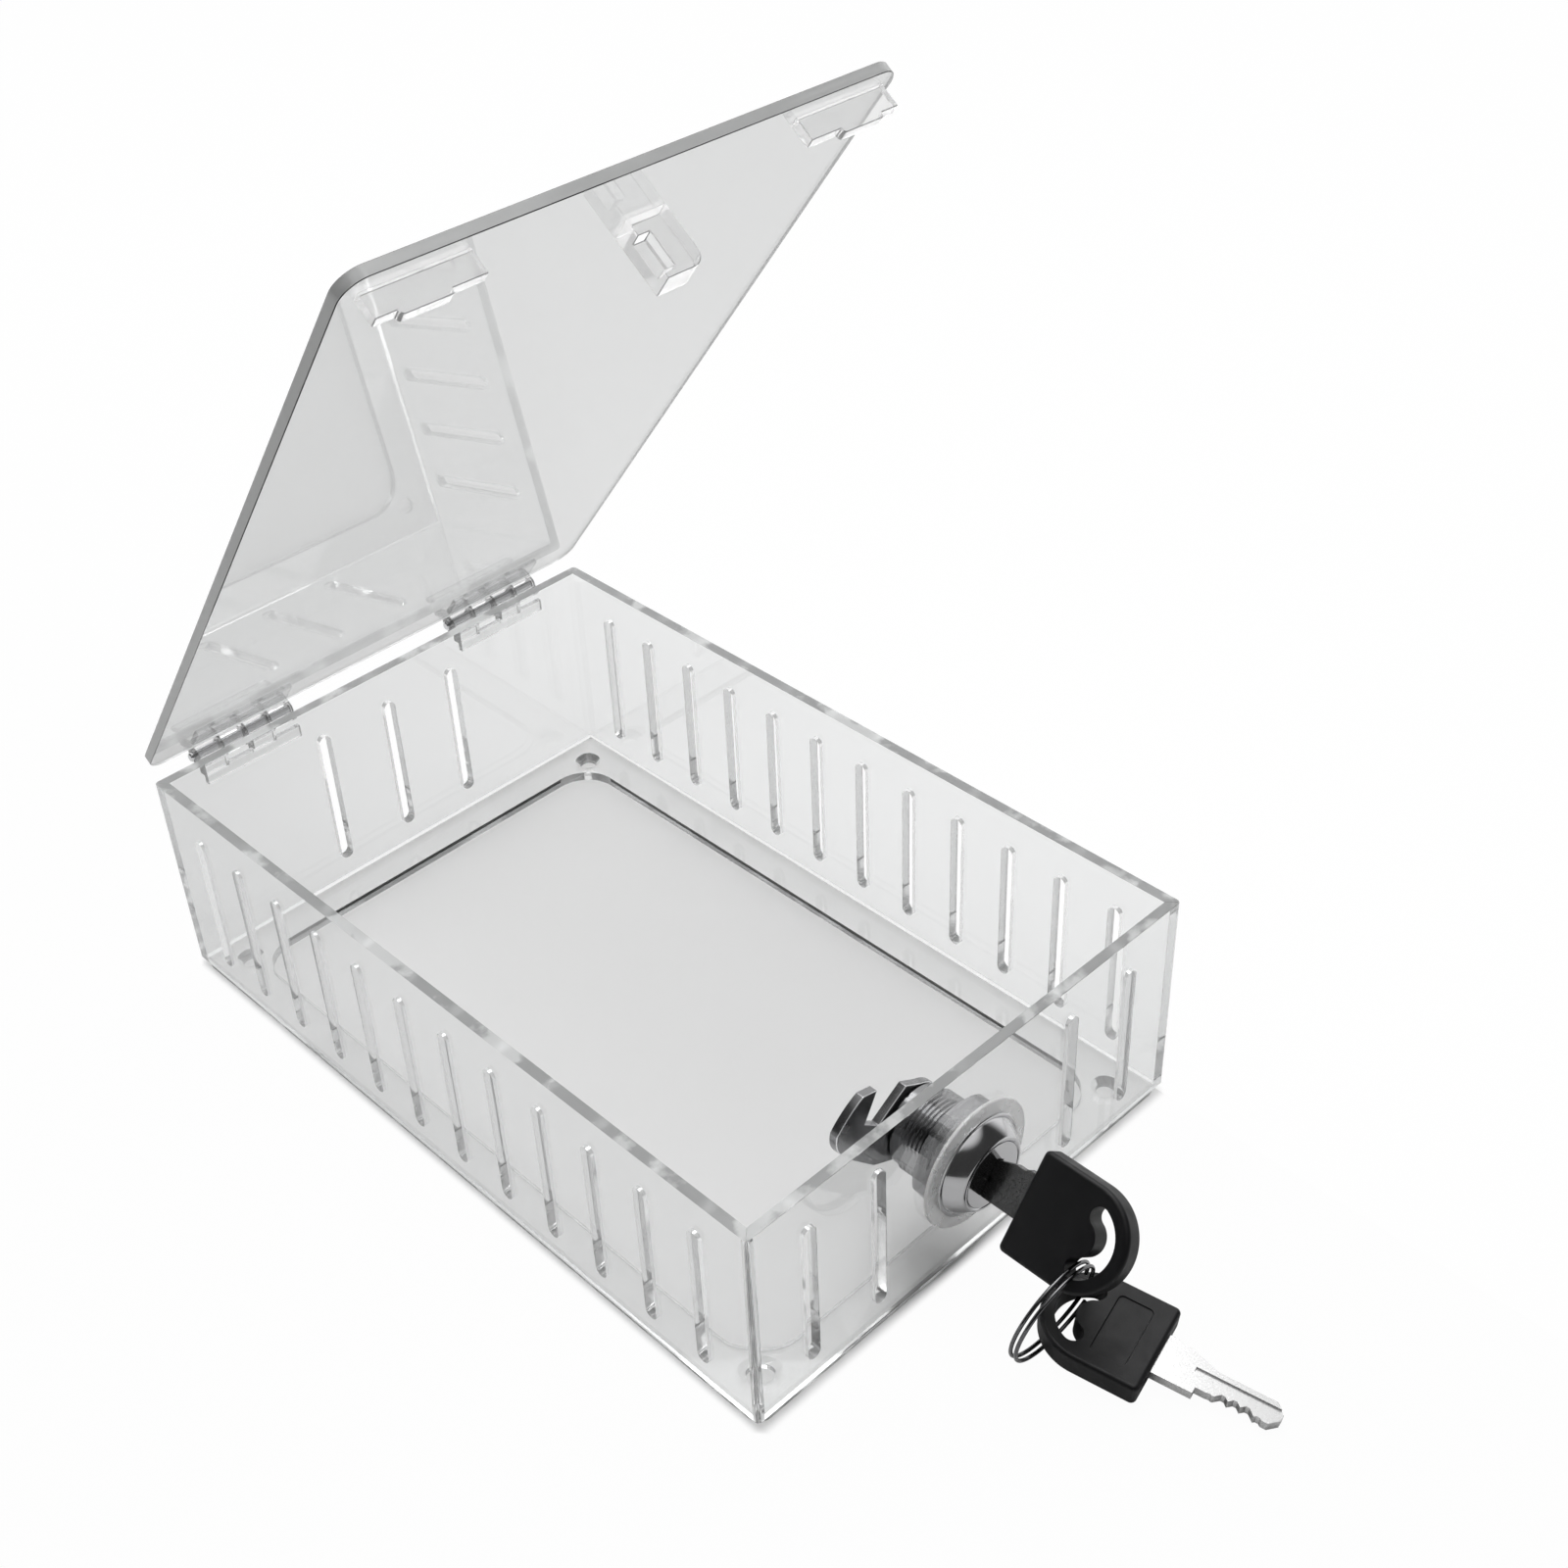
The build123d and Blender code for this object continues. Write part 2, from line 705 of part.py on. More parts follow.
# Spare key, held up at its bow by the ring and dipping towards its tip
turn = radians(spare_turn)
dip = radians(spare_tilt)
spare_plane = Plane(
    origin=ring_centre + Vector(spare_shift_x, spare_shift_y, -spare_drop),
    x_dir=(sin(turn) * cos(dip), -cos(turn) * cos(dip), -sin(dip)),
    z_dir=(sin(turn) * sin(dip), -cos(turn) * sin(dip), cos(dip)),
)
key(spare_plane, "spare_key_blade", "spare_key_head")
print("ring centre", ring_centre, "hangs at", hang_point)
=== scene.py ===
import json
from math import cos, pi, radians, sin

import bpy
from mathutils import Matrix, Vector

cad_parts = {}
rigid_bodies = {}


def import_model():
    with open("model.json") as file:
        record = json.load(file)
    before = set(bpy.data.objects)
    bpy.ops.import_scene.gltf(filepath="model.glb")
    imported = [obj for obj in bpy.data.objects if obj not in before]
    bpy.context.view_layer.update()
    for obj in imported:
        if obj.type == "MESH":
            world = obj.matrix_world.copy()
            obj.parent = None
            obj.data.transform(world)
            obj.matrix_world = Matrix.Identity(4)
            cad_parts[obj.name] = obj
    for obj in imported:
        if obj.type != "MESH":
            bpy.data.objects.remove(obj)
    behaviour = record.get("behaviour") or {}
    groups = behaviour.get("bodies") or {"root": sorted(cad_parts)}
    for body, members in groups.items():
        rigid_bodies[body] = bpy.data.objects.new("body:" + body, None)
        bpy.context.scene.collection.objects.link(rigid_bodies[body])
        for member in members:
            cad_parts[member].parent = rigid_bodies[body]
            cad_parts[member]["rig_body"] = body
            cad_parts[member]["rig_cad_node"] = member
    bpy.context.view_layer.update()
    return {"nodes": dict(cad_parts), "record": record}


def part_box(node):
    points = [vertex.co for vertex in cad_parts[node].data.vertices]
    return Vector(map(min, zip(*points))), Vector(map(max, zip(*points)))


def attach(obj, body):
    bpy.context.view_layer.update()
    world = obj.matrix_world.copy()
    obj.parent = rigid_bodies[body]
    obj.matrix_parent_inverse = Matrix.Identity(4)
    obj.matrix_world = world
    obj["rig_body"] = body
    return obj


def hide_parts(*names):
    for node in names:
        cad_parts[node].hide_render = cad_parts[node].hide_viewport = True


bl_info = {
    "name": "Thermostat lock box",
    "version": (1, 0, 0),
    "blender": (4, 5, 0),
    "location": "3D View > Sidebar > Lock box",
    "description": "Dresses a clear acrylic thermostat lock box with its cam lock and keys",
    "category": "Object",
}

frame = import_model()
NODES = frame["nodes"]


def node_middle(name):
    low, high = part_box(name)
    return (low + high) / 2


# Lock axis and faces of the lock and the front wall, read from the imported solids
LOCK = node_middle("lock_shim_washer")
SHIM_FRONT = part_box("lock_shim_washer")[0].y
WALL_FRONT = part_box("front_wall")[0].y
PLUG_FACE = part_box("lock_plug")[0].y
BARREL_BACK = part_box("lock_housing")[1].y
KEY_TILT = radians(39.4)
LID_OPEN = radians(52.54)
WAFERS = 5
# Inner radius of the bezel and the barrel, in which the plug turns
BORE = 0.00725
# Widths of the rounded edges of the metal and moulded pieces
FINE_EDGE = 0.00008
SCREW_EDGE = 0.0001
SOFT_EDGE = 0.00012
STAMPED_EDGE = 0.00022
# How far the painted dark line along a wall's foot stays clear of the wall's ends
FOOT_SHADE_MARGIN = 0.006
# Points closer than this are one point
SAME_POINT = 0.000001
# Middle band of a noise texture, where nearly all its values lie
NOISE_LOW = 0.3
NOISE_HIGH = 0.7
# Share of a face's normal that lies along its sheet's own: less than the first on the sheet's sides,
# more than the second on its two faces
SIDE_LEAN = 0.3
FACE_LEAN = 0.9

# The way from the box to the bright backdrop behind it
BACKDROP = (0.68, 0.73, 0.0)
# How far the box's shade runs over the floor, and how its two slanting sides run
SHADE_RIGHT = 0.051
SHADE_BACK = 0.087
SHADE_FRONT_SLOPE = 0.646
SHADE_LEFT_SLOPE = 2.345
# Brightness of the shade at its left and right ends
SHADE_DARK = 0.75
SHADE_LIGHT = 0.98
# Where the painted soft shadow round the box's foot starts under it and ends beside it
FOOT_SHADOW_SIDE = (0.0004, 0.0018)
FOOT_SHADOW_END = (0.0002, 0.0026)
# Share of white in the floor that is clear of the box
FLOOR_WHITE = 0.97
CAMERA_PLACE = (-0.2177, -0.2755, 0.3356)
CAMERA_TURN = (radians(52.3293), radians(1.9811), radians(-44.7070))
# Light passes many faces of clear sheet before it leaves the box
SHEET_BOUNCES = 32

WHITE = (1.0, 1.0, 1.0, 1.0)
WAYS = (Vector((1.0, 0.0, 0.0)), Vector((0.0, 1.0, 0.0)), Vector((0.0, 0.0, 1.0)))
BODY_OF = {n: body for body, names in frame["record"]["behaviour"]["bodies"].items() for n in names}


def colour_setting(name, description, default):
    return bpy.props.FloatVectorProperty(
        name=name, description=description, subtype="COLOR", size=3, min=0.0, max=1.0, default=default
    )


def length_setting(name, description, default):
    return bpy.props.FloatProperty(name=name, description=description, subtype="DISTANCE", default=default)


class SheetSettings(bpy.types.PropertyGroup):
    tint: colour_setting("Tint", "What the clear sheet gives to what is seen through it", (0.915, 0.92, 0.92))
    # Painted shade: the lid is the walls' acrylic, given a darker tint
    lid_shaded_tint: colour_setting("Lid tint", "Colour of the lid, which still has its haze", (0.68, 0.685, 0.685))
    plate_tint: colour_setting("Plate tint", "Colour of the base plate and the hinges", (0.86, 0.862, 0.862))
    edge_tint: colour_setting("Edge tint", "Colour of the sawn edges", (0.4, 0.405, 0.405))
    rim_tint: colour_setting("Rim tint", "Colour of the lid's sawn rim", (0.62, 0.625, 0.625))
    slot_tint: colour_setting("Slot tint", "Colour of the milled faces inside the vents", (0.8, 0.805, 0.805))
    edge: length_setting("Edge", "Width of the broken edges of the sheet", 0.00015)
    seam: length_setting("Seam", "How far the faces draw back at a joint", 0.00001)
    refraction: bpy.props.FloatProperty(
        name="Refraction", description="Refractive index of the sheet", default=1.49, min=1.3, max=1.7
    )


class LockSettings(bpy.types.PropertyGroup):
    chrome: colour_setting("Chrome", "Colour of the polished chrome plate", (0.62, 0.62, 0.63))
    zinc: colour_setting("Zinc", "Colour of the zinc-plated cam, nut and screw", (0.27, 0.27, 0.275))
    thread_radius: length_setting("Thread radius", "Outer radius of the barrel's thread", 0.009)
    thread_depth: length_setting("Thread depth", "Depth of the thread", 0.00045)
    thread_pitch: length_setting("Thread pitch", "Distance from one turn to the next", 0.001)
    flat: length_setting("Flat", "Distance from the lock axis to each flat", 0.0082)


class KeySettings(bpy.types.PropertyGroup):
    plastic: colour_setting("Plastic", "Colour of the moulded key heads", (0.006, 0.006, 0.007))
    # Painted shade: the blade in the lock is the same nickel as the spare's, tinted dark
    nickel_in_painted_shade: colour_setting("Used nickel", "Colour of the blade in the lock", (0.14, 0.14, 0.14))
    nickel: colour_setting("Nickel", "Colour of the spare key's nickel-plated blade", (0.84, 0.84, 0.84))


class StageSettings(bpy.types.PropertyGroup):
    floor_tone: bpy.props.FloatProperty(
        name="Floor tone", description="Brightness of the matt floor", default=0.71, min=0.0, max=1.0
    )
    floor_reach: length_setting("Floor reach", "Half the floor's width", 4.0)
    lens: bpy.props.FloatProperty(
        name="Lens", description="Focal length of the camera on a 36 mm sensor", default=49.59, min=10.0
    )


def choose_only(piece):
    """Deselect everything and make one object the only chosen one."""
    bpy.ops.object.select_all(action="DESELECT")
    piece.select_set(True)
    bpy.context.view_layer.objects.active = piece


def apply_to(piece, modifier):
    """Make a modifier's result part of the mesh."""
    choose_only(piece)
    bpy.ops.object.modifier_apply(modifier=modifier.name)


def finish_piece(piece, name, body, material):
    """Name a finished piece, set its place into its mesh and let it ride on its body."""
    choose_only(piece)
    bpy.ops.object.transform_apply(location=True, rotation=True, scale=True)
    piece.name = name
    piece.data.name = name
    piece.data.materials.clear()
    piece.data.materials.append(material)
    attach(piece, body)


def assign(names, material):
    """Give CAD solids a finished material."""
    for name in names:
        data = NODES[name].data
        if not data.materials:
            data.materials.append(material)
        for index in range(len(data.materials)):
            data.materials[index] = material


def smooth_below(piece, degrees):
    choose_only(piece)
    bpy.ops.object.shade_smooth_by_angle(angle=radians(degrees))


def round_edges(piece, width, segments):
    """Round every edge that is sharper than 35 degrees."""
    edge = piece.modifiers.new("edge", "BEVEL")
    edge.width = width
    edge.segments = segments
    edge.limit_method = "ANGLE"
    edge.angle_limit = radians(35.0)
    apply_to(piece, edge)
    if segments > 1:
        even = piece.modifiers.new("even", "WEIGHTED_NORMAL")
        even.weight = 80
        bpy.ops.object.shade_smooth()
        apply_to(piece, even)


def merged_copy(node_name):
    """A closed copy of a CAD solid: doubles merged and flat faces joined up."""
    source = NODES[node_name]
    piece = source.copy()
    piece.data = source.data.copy()
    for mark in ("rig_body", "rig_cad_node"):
        del piece[mark]
    piece.parent = None
    bpy.context.scene.collection.objects.link(piece)
    choose_only(piece)
    bpy.ops.mesh.customdata_custom_splitnormals_clear()
    bpy.ops.object.mode_set(mode="EDIT")
    bpy.ops.mesh.select_all(action="SELECT")
    bpy.ops.mesh.remove_doubles(threshold=SAME_POINT)
    bpy.ops.mesh.dissolve_limited(angle_limit=radians(0.2))
    bpy.ops.object.mode_set(mode="OBJECT")
    return piece


def draw_in(piece, seam):
    """Move a piece's faces inwards by a hair, so that sheets in contact keep a seam of air."""
    inwards = piece.modifiers.new("seam", "DISPLACE")
    inwards.mid_level = 0.0
    inwards.strength = -seam
    apply_to(piece, inwards)


def cut_across(piece, cuts):
    """Divide a piece's faces along planes, each given as a direction and a distance along it."""
    choose_only(piece)
    bpy.ops.object.mode_set(mode="EDIT")
    for way, distance in cuts:
        bpy.ops.mesh.select_all(action="SELECT")
        bpy.ops.mesh.bisect(plane_co=distance * way, plane_no=way)
    bpy.ops.object.mode_set(mode="OBJECT")


def dressed_copy(node_name, piece_name, material, edge, segments=2, seam=0.0, cuts=()):
    """A CAD solid with rounded edges; a seam draws its faces in, so touching sheets stay apart."""
    piece = merged_copy(node_name)
    if cuts:
        cut_across(piece, cuts)
    round_edges(piece, edge, segments)
    if segments == 1:
        smooth_below(piece, 20.0)
    if seam:
        draw_in(piece, seam)
    finish_piece(piece, piece_name, BODY_OF[node_name], material)
    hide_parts(node_name)
    return piece


def clear_copy(node_name, material, cuts=()):
    """A clear piece with broken edges, which lets the light through without a shadow."""
    settings = bpy.context.scene.sheet_settings
    piece = dressed_copy(node_name, node_name + "_clear", material, settings.edge, 1, settings.seam, cuts)
    piece.visible_shadow = False
    return piece


def mark_faces(piece, materials, finish_of):
    """Add materials to a piece and give each face the one that finish_of names, if any."""
    for material in materials:
        piece.data.materials.append(material)
    for face in piece.data.polygons:
        chosen = finish_of(face)
        if chosen:
            face.material_index = 1 + materials.index(chosen)


def is_broken_edge(lean):
    """Whether a face leans as a broken edge does, between a sheet's side and its face."""
    return SIDE_LEAN < lean < FACE_LEAN


def turned_outline(outline):
    """A closed outline of (radius, y) points beside the lock axis, extruded point by point."""
    bpy.ops.object.select_all(action="DESELECT")
    bpy.ops.mesh.primitive_plane_add(size=0.001, location=(LOCK.x, 0.0, LOCK.z))
    piece = bpy.context.active_object
    bpy.ops.object.mode_set(mode="EDIT")
    bpy.ops.mesh.merge(type="CENTER")
    here = (0.0, 0.0)
    for index, point in enumerate([*outline, outline[0]]):
        step = (point[0] - here[0], point[1] - here[1], 0.0)
        if index == 0:
            bpy.ops.transform.translate(value=step)
        else:
            bpy.ops.mesh.extrude_region_move(TRANSFORM_OT_translate={"value": step})
        here = point
    bpy.ops.mesh.select_all(action="SELECT")
    bpy.ops.mesh.remove_doubles(threshold=SAME_POINT)
    return piece


def turned_piece(outline, steps=96):
    """A solid of revolution about the lock axis."""
    piece = turned_outline(outline)
    bpy.ops.mesh.spin(steps=steps, angle=2 * pi, center=(LOCK.x, 0.0, LOCK.z), axis=(0.0, 1.0, 0.0))
    bpy.ops.mesh.select_all(action="SELECT")
    bpy.ops.mesh.remove_doubles(threshold=SAME_POINT)
    bpy.ops.mesh.normals_make_consistent(inside=False)
    bpy.ops.object.mode_set(mode="OBJECT")
    return piece


def cut_flats(piece, half_width):
    """Cut both sides of a piece flat, at a distance from the lock axis."""
    choose_only(piece)
    bpy.ops.object.mode_set(mode="EDIT")
    for side in (-1.0, 1.0):
        bpy.ops.mesh.select_all(action="SELECT")
        bpy.ops.mesh.bisect(
            plane_co=(LOCK.x + side * half_width, 0.0, LOCK.z),
            plane_no=(side, 0.0, 0.0),
            use_fill=True,
            clear_outer=True,
        )
    bpy.ops.mesh.select_all(action="SELECT")
    bpy.ops.mesh.normals_make_consistent(inside=False)
    bpy.ops.object.mode_set(mode="OBJECT")


def close_ends():
    """Fill the open ends of the mesh in edit mode and turn its faces outwards."""
    bpy.ops.mesh.select_all(action="DESELECT")
    bpy.ops.mesh.select_mode(type="EDGE")
    bpy.ops.mesh.select_non_manifold(extend=False)
    bpy.ops.mesh.edge_face_add()
    bpy.ops.mesh.select_mode(type="VERT")
    bpy.ops.mesh.select_all(action="SELECT")
    bpy.ops.mesh.normals_make_consistent(inside=False)


def wind(piece, axis, pitch, turns, steps):
    """Wind a closed outline into a helix about the object's own axis and close its ends."""
    screw = piece.modifiers.new("wind", "SCREW")
    screw.axis = axis
    screw.screw_offset = pitch
    screw.iterations = turns
    screw.steps = steps
    screw.render_steps = steps
    screw.use_merge_vertices = False
    apply_to(piece, screw)
    bpy.ops.object.mode_set(mode="EDIT")
    bpy.ops.mesh.select_all(action="SELECT")
    bpy.ops.mesh.remove_doubles(threshold=SAME_POINT / 2)
    close_ends()
    bpy.ops.object.mode_set(mode="OBJECT")


def join_pieces(pieces):
    choose_only(pieces[0])
    for piece in pieces:
        piece.select_set(True)
    bpy.ops.object.join()
    return bpy.context.active_object


def feed(tree, socket, value):
    """Link a node's output to a socket, or set a plain number or colour on it."""
    if isinstance(value, bpy.types.NodeSocket):
        tree.links.new(value, socket)
    else:
        socket.default_value = value


def node(tree, kind, **inputs):
    """Add a node and feed its named inputs."""
    made = tree.nodes.new(kind)
    for name, value in inputs.items():
        feed(tree, made.inputs[name.replace("_", " ")], value)
    return made


def reckon(tree, kind, first, second):
    """One math node; a sum stops at 1."""
    made = tree.nodes.new("ShaderNodeMath")
    made.operation = kind
    made.use_clamp = kind == "ADD"
    feed(tree, made.inputs[0], first)
    feed(tree, made.inputs[1], second)
    return made.outputs["Value"]


def spread(tree, value, start, end, low=0.0, high=1.0, smooth=False):
    """Map a stretch of a value onto a working range."""
    made = node(
        tree, "ShaderNodeMapRange", Value=value, From_Min=start, From_Max=end, To_Min=low, To_Max=high
    )
    if smooth:
        made.interpolation_type = "SMOOTHSTEP"
    return made.outputs["Result"]


def noise(tree, scale, detail):
    """Noise on Object coordinates."""
    place = node(tree, "ShaderNodeTexCoord")
    made = node(tree, "ShaderNodeTexNoise", Vector=place.outputs["Object"], Scale=scale, Detail=detail)
    return made.outputs["Fac"]


def between(tree, value, low, high):
    """Spread a noise over a working range."""
    return spread(tree, value, NOISE_LOW, NOISE_HIGH, low, high)


def two_tones(tree, share, first, second):
    """A colour that goes from a first tone to a second one."""
    tone = tree.nodes.new("ShaderNodeMix")
    tone.data_type = "RGBA"
    feed(tree, tone.inputs["Factor"], share)
    feed(tree, tone.inputs["A"], (*first, 1.0))
    feed(tree, tone.inputs["B"], (*second, 1.0))
    return tone.outputs["Result"]


def mix_shaders(tree, share, first, second, output):
    """Send a first and a second shader, mixed, to the output node."""
    mix = node(tree, "ShaderNodeMixShader", Fac=share)
    tree.links.new(first, mix.inputs[1])
    tree.links.new(second, mix.inputs[2])
    tree.links.new(mix.outputs["Shader"], tree.nodes[output].inputs["Surface"])


def add_bump(tree, shader, height, strength, depth):
    bump = node(tree, "ShaderNodeBump", Height=height, Strength=strength, Distance=depth)
    tree.links.new(bump.outputs["Normal"], shader.inputs["Normal"])


def plain_material(name, tint=(0.8, 0.8, 0.8)):
    """A material with only a Principled shader and its output."""
    material = bpy.data.materials.new(name)
    material.use_nodes = True
    shader = material.node_tree.nodes["Principled BSDF"]
    shader.inputs["Base Color"].default_value = (*tint, 1.0)
    return material, material.node_tree, shader


def acrylic_material(name, tint, clearness=1.0):
    """Acrylic that lets a share of the light through."""
    material, tree, shader = plain_material(name, tint)
    shader.inputs["IOR"].default_value = bpy.context.scene.sheet_settings.refraction
    shader.inputs["Transmission Weight"].default_value = clearness
    return material, tree, shader


def polished_material(name, tint):
    """Clear sheet with faint smudges and ripples."""
    material, tree, shader = acrylic_material(name, tint)
    smudges = noise(tree, scale=22.0, detail=3.0)
    feed(tree, shader.inputs["Roughness"], between(tree, smudges, 0.0, 0.03))
    add_bump(tree, shader, noise(tree, scale=9.0, detail=1.0), strength=0.05, depth=0.0005)
    return material


def clear_block_material():
    """Thick clear block, which glows a little from the light inside it."""
    material = polished_material("clear_block", WHITE[:3])
    tree = material.node_tree
    glow = node(tree, "ShaderNodeBsdfTranslucent", Color=WHITE)
    clear = tree.nodes["Principled BSDF"].outputs["BSDF"]
    glow_share = 0.18
    mix_shaders(tree, glow_share, clear, glow.outputs["BSDF"], "Material Output")
    return material


def sawn_and_painted_edge_material(name, tint, roughness, clearness=1.0):
    """Edge as the saw or the mill leaves it, duller than the polished faces; its tint also carries the
    painted shade of the dark outlines, the window band and the knuckle ends, and the painted light of the
    wall ends.
    """
    material, tree, shader = acrylic_material(name, tint, clearness)
    marks = noise(tree, scale=160.0, detail=2.0)
    feed(tree, shader.inputs["Roughness"], between(tree, marks, roughness, roughness + 0.06))
    return material


def chipped_edge_material(name, tint, roughness, clearness):
    """Sawn edge with small bright chips."""
    material = sawn_and_painted_edge_material(name, tint, roughness, clearness)
    tree = material.node_tree
    chip_gain = 1.9
    bright = [min(1.0, chip_gain * part) for part in tint]
    chips = spread(tree, noise(tree, scale=95.0, detail=6.0), start=0.5, end=0.57)
    feed(tree, tree.nodes["Principled BSDF"].inputs["Base Color"], two_tones(tree, chips, tint, bright))
    return material


def frosted_washer_material():
    """Clear washer, dulled by its cement."""
    material, tree, shader = acrylic_material("frosted_acrylic", (0.97, 0.97, 0.97), 0.6)
    smear = noise(tree, scale=260.0, detail=4.0)
    feed(tree, shader.inputs["Roughness"], between(tree, smear, 0.15, 0.45))
    return material


def metal_material(name, tint, wear, grain, relief):
    """Metal whose roughness goes between the two values of its wear, over a fine grain."""
    material, tree, shader = plain_material(name, tint)
    shader.inputs["Metallic"].default_value = 1.0
    patches = noise(tree, scale=180.0, detail=5.0)
    feed(tree, shader.inputs["Roughness"], between(tree, patches, *wear))
    add_bump(tree, shader, noise(tree, scale=grain, detail=3.0), relief, depth=0.00002)
    return material


def speckled_nickel_material(name, tint):
    """Milled nickel blade with a fine bright and dull speckle."""
    material, tree, shader = plain_material(name, tint)
    shader.inputs["Metallic"].default_value = 1.0
    speckle = noise(tree, scale=3600.0, detail=5.0)
    dull_share = 0.68
    dull = [dull_share * part for part in tint]
    feed(tree, shader.inputs["Base Color"], two_tones(tree, between(tree, speckle, 0.0, 1.0), dull, tint))
    feed(tree, shader.inputs["Roughness"], between(tree, speckle, 0.3, 0.16))
    add_bump(tree, shader, speckle, strength=0.3, depth=0.00002)
    return material


def moulded_material(tint):
    """Black plastic with the fine grain of its mould."""
    material, tree, shader = plain_material("moulded_plastic", tint)
    shader.inputs["Specular IOR Level"].default_value = 0.35
    patches = noise(tree, scale=300.0, detail=4.0)
    feed(tree, shader.inputs["Roughness"], between(tree, patches, 0.36, 0.5))
    add_bump(tree, shader, noise(tree, scale=5200.0, detail=2.0), strength=0.35, depth=0.00006)
    return material


def dress_wall(name, sheet, sawn, milled, outline, painted_lit_end):
    """A wall: sawn on top, milled in its vents, with painted light on its ends at the corners and painted
    shade along its foot.
    """
    low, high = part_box(name)
    plate_low, plate_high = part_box("base_plate")
    through = 1 if name in ("front_wall", "back_wall") else 0
    length = 1 - through
    rim = plate_low[through] if name in ("front_wall", "left_wall") else plate_high[through]
    start = low[length] + FOOT_SHADE_MARGIN
    end = high[length] - FOOT_SHADE_MARGIN
    wall = clear_copy(name, sheet, ((WAYS[through], rim), (WAYS[length], start), (WAYS[length], end)))
    top = high.z - bpy.context.scene.sheet_settings.edge
    foot = low.z + 0.0005
    corner_edge = 0.0001
    vent_margin = 0.001

    def finish_of(face):
        run = face.center[length]
        height = face.center.z
        at_foot = height < foot
        on_plate = abs(face.center[through]) < abs(rim) and start < run < end
        if abs(face.normal[through]) < SIDE_LEAN:
            # Painted light: pale faces on the wall's ends, where the corners show light lines
            if min(run - low[length], high[length] - run) < corner_edge:
                return painted_lit_end
            if low.z + vent_margin < height < high.z - vent_margin:
                return milled
        # Painted shade: the dark outline along the wall's foot
        if at_foot and (is_broken_edge(abs(face.normal.z)) or (on_plate and face.normal.z < -FACE_LEAN)):
            return outline
        return sawn if height > top and face.normal.z > FACE_LEAN else None

    mark_faces(wall, (sawn, milled, outline, painted_lit_end), finish_of)


def dress_plate(thin, shaded, sawn, outline):
    """The base plate: sawn round its rim, with painted shade round the upper part of its window."""
    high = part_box("base_plate")[1]
    shaded_from = 0.6 * high.z
    rim_width = 0.001
    hole_facet = 0.00002
    plate = clear_copy("base_plate", thin, ((WAYS[2], shaded_from),))

    def finish_of(face):
        lean = abs(face.normal.z)
        at_rim = max(abs(face.center.x) - high.x, abs(face.center.y) - high.y) > -rim_width
        if at_rim and lean < SIDE_LEAN:
            return sawn
        # Painted shade on the broken edges round the rim
        if at_rim and is_broken_edge(lean):
            return outline
        # Painted shade on the upper part of the window's sides
        in_window = lean < SIDE_LEAN and face.area >= hole_facet
        return shaded if in_window and face.center.z > shaded_from else None

    mark_faces(plate, (shaded, sawn, outline), finish_of)


class LOCKBOX_OT_box_sheets(bpy.types.Operator):
    """Polish the clear base plate and the four slotted walls, and dull their sawn edges"""

    bl_idname = "lockbox.box_sheets"
    bl_label = "Box sheets"

    def execute(self, context):
        settings = context.scene.sheet_settings
        sheet = polished_material("polished_sheet", settings.tint)
        thin = polished_material("polished_plate", settings.plate_tint)
        sawn = chipped_edge_material("sawn_edge", settings.edge_tint, roughness=0.2, clearness=0.35)
        # Painted shade: near-black faces round the upper part of the base plate's window
        shaded = sawn_and_painted_edge_material("shaded_edge", (0.004, 0.004, 0.004), roughness=0.1)
        # Painted shade: near-black faces on the broken edges and along the walls' foot, where the clear sheet
        # only shows dark lines
        outline = sawn_and_painted_edge_material("painted_shade_outline", (0.12, 0.12, 0.12), roughness=0.1)
        milled = sawn_and_painted_edge_material("slot_edge", settings.slot_tint, roughness=0.03, clearness=0.8)
        # Painted light: pale, half-clear faces for the light lines at the box's corners
        painted_lit_end = sawn_and_painted_edge_material("painted_light_end", (0.95, 0.95, 0.95), roughness=0.1, clearness=0.3)
        for name in ("front_wall", "back_wall", "left_wall", "right_wall"):
            dress_wall(name, sheet, sawn, milled, outline, painted_lit_end)
        dress_plate(thin, shaded, sawn, outline)
        clear_copy("lock_shim_washer", frosted_washer_material())
        return {"FINISHED"}


